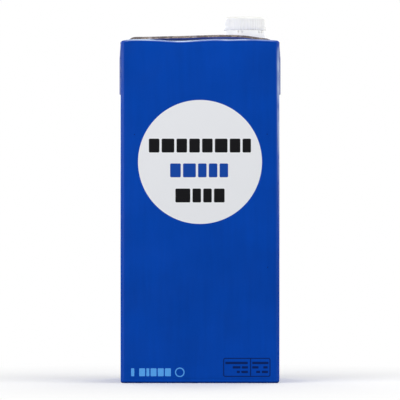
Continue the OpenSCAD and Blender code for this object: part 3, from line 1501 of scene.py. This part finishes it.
@dataclass
class BaseFolds:
    """What is folded under the base: two triangular flaps, and the fin between their tips.

    Attributes:
        pack: The board's sizes.
        recess: Depth of the base panel above the rim.
        inset: How far a flap's base stays inside the upright edges.
        step: How far the flaps stand proud of the fin.
        fin_width: Width of the fin.
        fin_under: How far the fin reaches under the tip of each flap.
        fin_fold: Radius of the fin's folded edge.
        sink: How deep the pieces sink into the base panel.
    """

    pack: Pack
    recess: float = 1.2 * MM
    inset: float = 0.6 * MM
    step: float = 0.4 * MM
    fin_width: float = 8.5 * MM
    fin_under: float = 3 * MM
    fin_fold: float = 0.35 * MM
    sink: float = 0.2 * MM

    def flap(self, side: Side) -> Piece:
        """Models the flap of one side, its folded face down on the standing plane.

        Args:
            side: Which side.

        Returns:
            The finished mesh.
        """
        pack = self.pack
        flat = Flap(
            name=f"base_flap_{side.name.lower()}",
            base=pack.half_d - pack.edge_radius - self.inset,
            reach=pack.flap_len - pack.fold_radius,
            thick=self.recess + self.sink,
        )
        return formed(
            flat.build(0.0),
            lambda p: Vector((side.value * (pack.reach - p.x), p.y, flat.thick - p.z)),
            turned=True,
        )

    def fin(self) -> Piece:
        """Models the fin between the tips of the flaps.

        Returns:
            The finished mesh, printed faces first and cut faces second.
        """
        half = self.pack.half_w - self.pack.flap_len + self.fin_under
        thick = self.recess - self.step + self.sink
        low = Vector((-half, -self.fin_width / 2, 0))
        piece = block("base_fin", low, Vector((half, self.fin_width / 2, thick)))
        with editing(piece):
            pick(piece, "EDGE", lambda e: all(v.co.y > 0 and v.co.z > thick / 2 for v in e.verts))
            round_off(self.fin_fold, 4)
            divide(0, steps(-half, half, 1.5 * MM))
            tidy_faces()
        mark_cut(piece, thick, lambda n, c: n.y < -FACING)
        level = self.recess + self.sink
        return formed(piece, lambda p: Vector((p.x, p.y, level - p.z)), turned=True)


# ---- Closure ----


@dataclass(frozen=True)
class Barrel:
    """The upright round space that one piece of the closure fills.

    Attributes:
        axis: Its axis, at height 0.
        radius: Its outer radius.
        low: Height of its foot.
        top: Height of its top.
    """

    axis: Vector
    radius: float
    low: float
    top: float

    @classmethod
    def of(cls, node: str) -> "Barrel":
        """Reads the space off a node's box in the frame.

        Args:
            node: The node's name.

        Returns:
            The space.
        """
        low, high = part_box(node)
        axis = Vector(((low.x + high.x) / 2, (low.y + high.y) / 2, 0))
        return cls(axis, (high.x - low.x) / 2, low.z, high.z)

    def cylinder(
        self, name: str, points: int, radius: float, low: float, top: float, wall: float = 0.0
    ) -> Piece:
        """Adds a cylinder on the axis.

        Args:
            name: The new piece's name.
            points: Number of points round it.
            radius: Its outer radius.
            low: Height of its foot.
            top: Height of its top.
            wall: Thickness of its wall, or 0 where it is solid.

        Returns:
            The cylinder.
        """
        piece = start(
            name,
            bpy.ops.mesh.primitive_cylinder_add,
            vertices=points,
            radius=radius,
            depth=top - low,
            end_fill_type="NOTHING" if wall else "NGON",
            location=(self.axis.x, self.axis.y, (low + top) / 2),
        )
        if wall:
            modify(piece, "SOLIDIFY", thickness=wall, offset=-1)
        return piece

    def is_rim(self, edge: bmesh.types.BMEdge, radius: float, level: float) -> bool:
        """Whether an edge runs round the axis.

        Args:
            edge: The edge.
            radius: Radius of the rim that is looked for.
            level: Height of that rim.

        Returns:
            True if both its ends lie on that rim.
        """
        return all(
            abs((v.co - self.axis).to_2d().length - radius) < MM / 20
            and abs(v.co.z - level) < MM / 20
            for v in edge.verts
        )


@dataclass
class Spout:
    """Flange, collar and neck, moulded in one.

    Attributes:
        collar: Diameter of the collar under the tamper band.
        neck: Diameter of the neck.
        flange_h: Thickness of the flange.
        collar_h: Height of the collar.
        rounding: Radius of its outer edges.
    """

    collar: float = 24.2 * MM
    neck: float = 20 * MM
    flange_h: float = 1.2 * MM
    collar_h: float = 1.8 * MM
    rounding: float = 0.35 * MM

    def build(self) -> Piece:
        """Models the spout.

        Returns:
            The finished mesh.
        """
        barrel = Barrel.of("spout")
        flange = round(barrel.radius / MM, 1) * MM
        shelf = barrel.low + self.flange_h
        collar_top = shelf + self.collar_h
        rims = ((flange, shelf), (self.collar / 2, collar_top))
        piece = barrel.cylinder("spout_piece", 128, flange, barrel.low, shelf)
        with editing(piece):
            pick(piece, "FACE", lambda f: f.normal.z > FACING)
            extrude()
            shrink = self.collar / 2 / flange
            spread(barrel.axis, shrink, shrink)
            extrude(self.collar_h)
            extrude()
            shrink = self.neck / self.collar
            spread(barrel.axis, shrink, shrink)
            extrude(barrel.top - collar_top)
            pick(piece, "EDGE", lambda e: any(barrel.is_rim(e, *rim) for rim in rims))
            round_off(self.rounding, 4)
            tidy_faces()
        return smooth(piece, 35)


@dataclass
class TamperBand:
    """The ring under the cap, with pairs of slits and the webs that hold it to the cap.

    Attributes:
        neck: Diameter of the neck inside it.
        fit: Clearance round the neck.
        gap: Height of the break line over it.
        pairs: Number of pairs of slits.
        spread: Angle between the slits of a pair, in degrees.
        turn: Angle of the first pair from the front, in degrees.
        slit: Width, height and depth of a slit.
        chamfer: Rounding of its lower edge.
        skin_in: How far the ring in the break line is set back.
        skin_wall: Thickness of that ring.
        web_in: How far a web is set back, at its outside.
        web_root: How far it stays off the neck, past the clearance.
        points: Number of points round it.
    """

    neck: float = 20 * MM
    fit: float = 0.2 * MM
    gap: float = 0.3 * MM
    pairs: int = 6
    spread: float = 11.0
    turn: float = -15.0
    slit: Triple = (0.5 * MM, 1.5 * MM, 0.8 * MM)
    chamfer: float = 0.3 * MM
    skin_in: float = 0.28 * MM
    skin_wall: float = 0.5 * MM
    web_in: float = 0.5 * MM
    web_root: float = 0.3 * MM
    points: int = 144

    def at_angle(self, axis: Vector, low: Vector, high: Vector, angle: float) -> Piece:
        """A cuboid at the front of the band, turned round the band's axis.

        Args:
            axis: The band's axis.
            low: The cuboid's lowest corner from the axis, before it turns.
            high: Its highest corner.
            angle: How far it turns, in degrees.

        Returns:
            The cuboid.
        """
        piece = block("small_block", axis + low, axis + high)
        turn = math.radians(angle)
        cos, sin = math.cos(turn), math.sin(turn)
        for vertex in piece.data.vertices:
            off = vertex.co - axis
            turned = (off.x * cos - off.y * sin, off.x * sin + off.y * cos, off.z)
            vertex.co = axis + Vector(turned)
        return piece

    def build(self) -> Piece:
        """Models the band.

        Returns:
            The finished mesh.
        """
        barrel = Barrel.of("tamper_band")
        axis, outer, top = barrel.axis, barrel.radius, barrel.top - self.gap
        wall = outer - self.neck / 2 - self.fit
        piece = barrel.cylinder("band_piece", self.points, outer, barrel.low, top, wall)
        with editing(piece):
            for level, rounding, segments in (
                (barrel.low, self.chamfer, 3),
                (top, self.chamfer / 3, 2),
            ):
                pick(piece, "EDGE", lambda e: barrel.is_rim(e, outer, level))
                round_off(rounding, segments)
            tidy_faces()
        self.cut_slits(piece, axis, outer, top)
        skin = barrel.cylinder(
            "break_skin",
            self.points,
            outer - self.skin_in,
            top - self.fit,
            top + self.gap,
            self.skin_wall,
        )
        webs = [self.web(axis, outer, top, count) for count in range(2 * self.pairs)]
        return smooth(joined("band_piece", [piece, skin, *webs]), 35)

    def cut_slits(self, piece: Piece, axis: Vector, outer: float, top: float) -> None:
        """Cuts the pairs of slits down from the band's upper edge.

        Args:
            piece: The plain band.
            axis: Its axis.
            outer: Its outer radius.
            top: Height of its upper edge.
        """
        width, height, depth = self.slit
        low = Vector((-width / 2, -outer - MM, top - height))
        high = Vector((width / 2, -outer + depth, top + MM))
        cutters = []
        for pair in range(self.pairs):
            for which in (-0.5, 0.5):
                angle = self.turn + 360 * pair / self.pairs + which * self.spread
                cutters.append(self.at_angle(axis, low, high, angle))
        cutter = joined("slits", cutters)
        modify(piece, "BOOLEAN", operation="DIFFERENCE", object=cutter, solver="EXACT")
        bpy.data.objects.remove(cutter)

    def web(self, axis: Vector, outer: float, top: float, count: int) -> Piece:
        """One of the small webs across the break line.

        Args:
            axis: The band's axis.
            outer: Its outer radius.
            top: Height of its upper edge.
            count: Which web, counted round the band.

        Returns:
            The web.
        """
        width, inner = self.slit[0], self.neck / 2 + self.fit + self.web_root
        low = Vector((-width, -outer + self.web_in, top - self.fit))
        high = Vector((width, -inner, top + self.gap))
        return self.at_angle(axis, low, high, self.turn + 180 * count / self.pairs)


@dataclass
class RibbedCap:
    """The screw cap: fine ribs, a flared skirt and a round top edge.

    Attributes:
        ribs: Number of ribs.
        groove: Depth of the grooves between them.
        run_out: Height over which a groove runs out under the top edge.
        edge: Radius of the top edge.
        sharpness: How pointed the ribs are, 1 for a plain wave and less for sharper ones.
        flare: How much narrower the cap is at its top.
        flare_from: Radius from which the top is drawn in to the full.
        lip: Rounding of the skirt's lower edge.
        dish: Depth of the shallow dish in the top, and of the dimple in its middle.
        rings: How far the dish and the dimple shrink what is inside them, at their
            outer edge and down their slope.
    """

    ribs: int = 48
    groove: float = 0.13 * MM
    run_out: float = 0.9 * MM
    edge: float = 1.3 * MM
    sharpness: float = 0.7
    flare: float = 0.3 * MM
    flare_from: float = 9 * MM
    lip: float = 0.2 * MM
    dish: float = 0.12 * MM
    rings: tuple[Span, ...] = ((0.93, 0.975), (0.14, 0.8))

    def build(self) -> Piece:
        """Models the cap.

        Returns:
            The finished mesh.
        """
        barrel = Barrel.of("cap")
        low, top, radius = barrel.low, barrel.top, barrel.radius
        shoulder = top - self.edge
        piece = barrel.cylinder("cap_piece", 8 * self.ribs, radius, low, top)
        with editing(piece):
            for level, rounding, segments in ((top, self.edge, 7), (low, self.lip, 2)):
                pick(piece, "EDGE", lambda e: barrel.is_rim(e, radius, level))
                round_off(rounding, segments)
            run_out = [shoulder - self.run_out, shoulder - self.run_out / 2]
            divide(2, [*run_out, low + (top - low) / 3])
            self.dish_top(piece, barrel)
            tidy_faces()
        return formed(piece, lambda p: self.rib(p, barrel), angle=30)

    def dish_top(self, piece: Piece, barrel: Barrel) -> None:
        """Sinks a shallow dish into the top, with the small dimple of the mould's gate.

        Args:
            piece: The cap in edit mode.
            barrel: The space that it fills.
        """
        flat = barrel.radius - self.edge
        centre = barrel.axis + Vector((0, 0, barrel.top))
        pick(piece, "FACE", lambda f: f.normal.z > OUTERMOST and f.calc_area() > flat * flat)
        for ring, slope in self.rings:
            extrude()
            spread(centre, ring, ring)
            extrude(-self.dish)
            spread(centre, slope, slope)

    def rib(self, place: Vector, barrel: Barrel) -> Vector:
        """Takes a point of the plain cap in to the grooves and the flare.

        Args:
            place: The point.
            barrel: The space that the cap fills.

        Returns:
            Where it lies on the cap.
        """
        off = place - barrel.axis
        radius = off.to_2d().length
        if radius < MM:
            return place
        angle = math.atan2(off.y, off.x)
        rib = ease((barrel.top - self.edge - place.z) / self.run_out)
        wave = 0.5 * (1 - math.cos(self.ribs * angle))
        draw_in = self.groove * rib * wave**self.sharpness
        up = (place.z - barrel.low) / (barrel.top - barrel.low)
        draw_in += self.flare / 2 * up * ease(radius / self.flare_from)
        factor = (radius - draw_in) / radius
        return Vector((barrel.axis.x + off.x * factor, barrel.axis.y + off.y * factor, place.z))


# ---- Studio ----


@dataclass(frozen=True)
class Lamp:
    """A soft box.

    Attributes:
        name: Its name.
        at: Its place.
        aim: The point that it faces.
        size: Its width and height.
        power: Its power in watts.
    """

    name: str
    at: Triple
    aim: Triple
    size: Span
    power: float

    def hang(self) -> None:
        """Hangs it in the scene, out of the camera's sight."""
        turn = (Vector(self.aim) - Vector(self.at)).to_track_quat("-Z", "Y").to_euler()
        bpy.ops.object.light_add(type="AREA", location=self.at, rotation=turn)
        lamp = bpy.context.active_object
        lamp.name, lamp.visible_camera = self.name, False
        lamp.data.shape, lamp.data.size, lamp.data.size_y = "RECTANGLE", *self.size
        lamp.data.energy = self.power


@dataclass
class Studio:
    """Camera, pale floor and soft lights.

    Attributes:
        distance: From the camera to the front panel's plane.
        eye: Height of the camera.
        lens: Focal length in millimetres.
        ambient: Strength of the soft light from all round.
        bounce: Share of light that the floor sends back up.
        floor_radius: Radius of the floor.
        fade: Distances from the middle between which the floor turns white.
        lamps: The soft boxes.
    """

    distance: float = 2.0
    eye: float = 0.10424
    lens: float = 316.3
    ambient: float = 0.07
    bounce: float = 0.12
    floor_radius: float = 0.8
    fade: Span = (0.03, 0.22)
    lamps: tuple[Lamp, ...] = (
        Lamp("key", (-1.15, -0.85, 0.62), (0, 0, 0.18), (1.3, 1.1), 23.5),
        Lamp("fill", (1.25, -0.80, 0.60), (0, 0, 0.18), (1.3, 1.1), 13),
        Lamp("overhead", (0.1, -0.1, 1.2), (0, 0, 0.11), (1.2, 1.0), 1.8),
        Lamp("rim_right", (0.55, -0.10, 0.42), (0.045, -0.03, 0.19), (0.24, 0.34), 1.3),
        Lamp("back_top", (0.0, 1.3, 0.95), (0, 0, 0.19), (1.8, 1.2), 4),
        Lamp("back_left", (-0.95, 1.5, 0.6), (0, 0, 0.11), (1.1, 1.0), 11),
        Lamp("back_right", (0.95, 1.5, 0.6), (0, 0, 0.11), (1.1, 1.0), 11),
    )

    def camera(self, front: float) -> None:
        """Puts the camera level in front of the pack.

        Args:
            front: Y of the front panel's plane.
        """
        place = (0, front - self.distance, self.eye)
        bpy.ops.object.camera_add(location=place, rotation=(math.pi / 2, 0, 0))
        view = bpy.context.active_object
        view.name = "camera"
        view.data.lens = self.lens
        bpy.context.scene.camera = view

    def world(self) -> None:
        """White behind everything, and a dimmer even light on it."""
        world = bpy.data.worlds.new("studio")
        bpy.context.scene.world = world
        world.use_nodes = True
        nodes, link = world.node_tree.nodes, world.node_tree.links.new
        base, seen = nodes["Background"], nodes.new("ShaderNodeBackground")
        for sky, strength in ((base, self.ambient), (seen, 1.0)):
            sky.inputs["Color"].default_value = (1, 1, 1, 1)
            sky.inputs["Strength"].default_value = strength
        ray, mix = nodes.new("ShaderNodeLightPath"), nodes.new("ShaderNodeMixShader")
        shares = (ray.outputs["Is Camera Ray"], base.outputs[0], seen.outputs[0])
        for output, socket in zip(shares, mix.inputs):
            link(output, socket)
        link(mix.outputs[0], nodes["World Output"].inputs[0])

    def floor(self) -> None:
        """Lays the pale floor, which fades to white away from the carton."""
        floor = start(
            "floor",
            bpy.ops.mesh.primitive_circle_add,
            vertices=96,
            radius=self.floor_radius,
            fill_type="NGON",
            location=(0, 0, -0.05 * MM),
        )
        sheet = Sheet("pale_floor")
        seen = sheet.add("ShaderNodeLightPath").outputs["Is Camera Ray"]
        tone = sheet.clouds(4 * MM, 2.0, (0.3, 0.7), (0.93, 0.95))
        tone = sheet.product(tone, sheet.remap(seen, (0, 1), (self.bounce, 1)))
        sheet.set(Base_Color=tone, Roughness=0.7, Specular_IOR_Level=0.1)
        fade = sheet.remap(sheet.vector("LENGTH", sheet.place), self.fade, (0, 1))
        glow = sheet.add("ShaderNodeEmission").outputs[0]
        pale = sheet.shader.outputs[0]
        mix = sheet.add("ShaderNodeMixShader", sheet.product(fade, seen), pale, glow)
        sheet.feed(sheet.tree.nodes["Material Output"].inputs[0], mix.outputs[0])
        floor.data.materials.append(sheet.material)

    def build(self, front: float) -> None:
        """Sets up the whole studio.

        Args:
            front: Y of the front panel's plane.
        """
        self.camera(front)
        for lamp in self.lamps:
            lamp.hang()
        self.world()
        self.floor()
        bpy.context.scene.view_settings.view_transform = "Standard"
        LOG.info("studio: camera %.2f m away at %.3f m", self.distance, self.eye)


def main() -> None:
    """Builds the carton's pieces in order, and the studio round them."""
    logging.basicConfig(level=logging.INFO, format="%(name)s: %(message)s")
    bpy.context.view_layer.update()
    pack = Pack.from_frame()
    printed = PrintedBoard(PanelPrint()).material("printed_board")
    plain = PrintedBoard().material("plain_blue_board")
    double_edge = CutEdge().material("double_cut_edge")
    single_edge = CutEdge(boards=1).material("single_cut_edge")
    plastic = MouldedPlastic().material("white_plastic")

    seat(BrickBody(pack).build(), [printed], "carton")
    seat(TopFin(pack).build(), [plain, double_edge])
    for side in Side:
        seat(SideEar(pack, side).build(), [plain])
    seat(BackSeam(pack).build(), [printed, single_edge])
    folds = BaseFolds(pack)
    for side in Side:
        seat(folds.flap(side), [plain])
    seat(folds.fin(), [plain, double_edge])
    seat(Spout().build(), [plastic], "spout")
    seat(TamperBand().build(), [plastic], "tamper_band")
    seat(RibbedCap().build(), [plastic], "cap")
    Studio().build(-pack.half_d)


if __name__ == "__main__":
    main()
